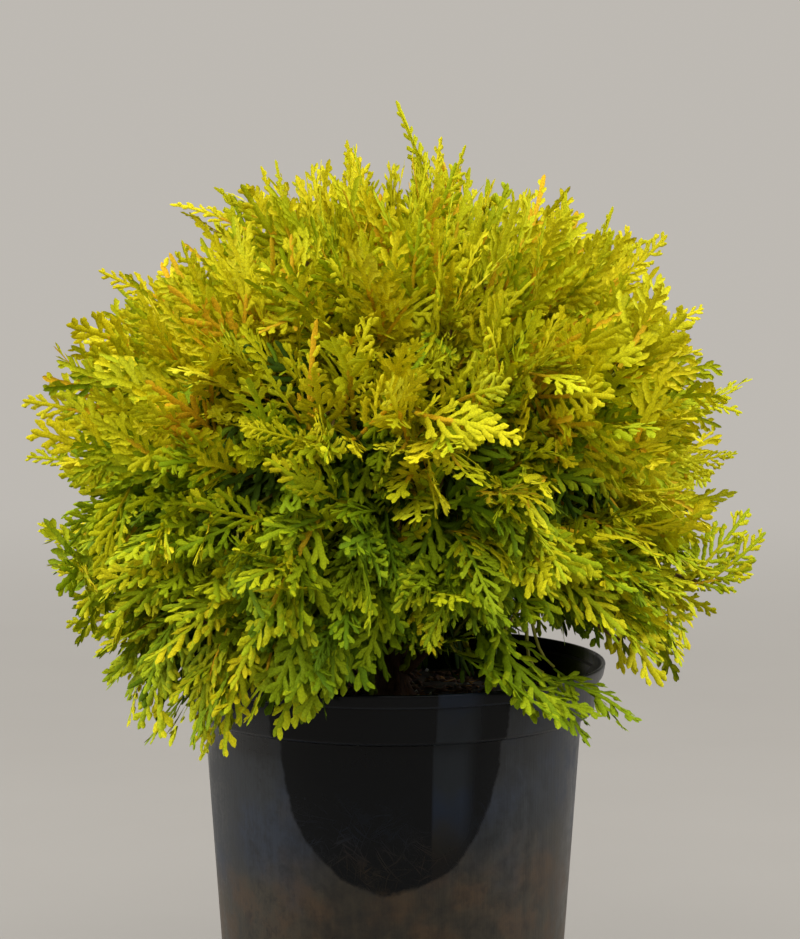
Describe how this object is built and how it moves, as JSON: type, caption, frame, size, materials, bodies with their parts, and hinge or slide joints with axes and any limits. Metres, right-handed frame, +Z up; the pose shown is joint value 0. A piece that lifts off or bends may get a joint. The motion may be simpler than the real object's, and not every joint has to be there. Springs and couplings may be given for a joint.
{
  "type": "potted thuja",
  "caption": "Young globe-shaped golden thuja with flat scale-leaved sprays drooping over a round black plastic nursery pot.",
  "frame": {"origin": "centre of the pot's flat underside", "axes": "+Z up along the pot's axis to the tip of the plant, -Y towards the front of the plant, +X to its right when it is seen from the front"},
  "size_m": [0.2933, 0.2789, 0.3923],
  "materials": {
    "pot_plastic": "satin black injection-moulded plastic, dusty and scuffed",
    "potting_mix": "rough dark potting mix with bark chips",
    "bark": "thin red-brown bark in fine vertical strips",
    "bough_bark": "young orange-brown bark",
    "foliage_top": "matte golden yellow-green scale leaves",
    "foliage_upper": "matte golden yellow-green scale leaves",
    "foliage_middle": "matte lime green scale leaves",
    "foliage_lower": "matte mid green scale leaves",
    "foliage_droop": "matte lime green scale leaves",
    "foliage_tip": "matte golden scale leaves"
  },
  "bodies": {
    "root": {"bough_lower_back": "bough_bark", "bough_lower_back_left": "bough_bark", "bough_lower_back_right": "bough_bark", "bough_lower_front_left": "bough_bark", "bough_lower_front_right": "bough_bark", "bough_lower_left": "bough_bark", "bough_lower_right": "bough_bark", "bough_middle_back_left": "bough_bark", "bough_middle_back_right": "bough_bark", "bough_middle_front": "bough_bark", "bough_middle_front_left": "bough_bark", "bough_middle_front_right": "bough_bark", "bough_middle_left": "bough_bark", "bough_middle_right": "bough_bark", "bough_upper_back_left": "bough_bark", "bough_upper_back_right": "bough_bark", "bough_upper_front": "bough_bark", "bough_upper_left": "bough_bark", "bough_upper_right": "bough_bark", "foliage_crown_top": "foliage_top", "foliage_droop_back": "foliage_droop", "foliage_droop_front_left": "foliage_droop", "foliage_droop_front_right": "foliage_droop", "foliage_droop_left": "foliage_droop", "foliage_lower_back": "foliage_lower", "foliage_lower_back_left": "foliage_lower", "foliage_lower_back_right": "foliage_lower", "foliage_lower_front_left": "foliage_lower", "foliage_lower_front_right": "foliage_lower", "foliage_lower_left": "foliage_lower", "foliage_lower_right": "foliage_lower", "foliage_middle_back_left": "foliage_middle", "foliage_middle_back_right": "foliage_middle", "foliage_middle_front": "foliage_middle", "foliage_middle_front_left": "foliage_middle", "foliage_middle_front_right": "foliage_middle", "foliage_middle_left": "foliage_middle", "foliage_middle_right": "foliage_middle", "foliage_right_outlier": "foliage_tip", "foliage_top_tip": "foliage_tip", "foliage_upper_back_left": "foliage_upper", "foliage_upper_back_right": "foliage_upper", "foliage_upper_front": "foliage_upper", "foliage_upper_left": "foliage_upper", "foliage_upper_right": "foliage_upper", "pot": "pot_plastic", "soil": "potting_mix", "trunk": "bark"}
  },
  "joints": []
}
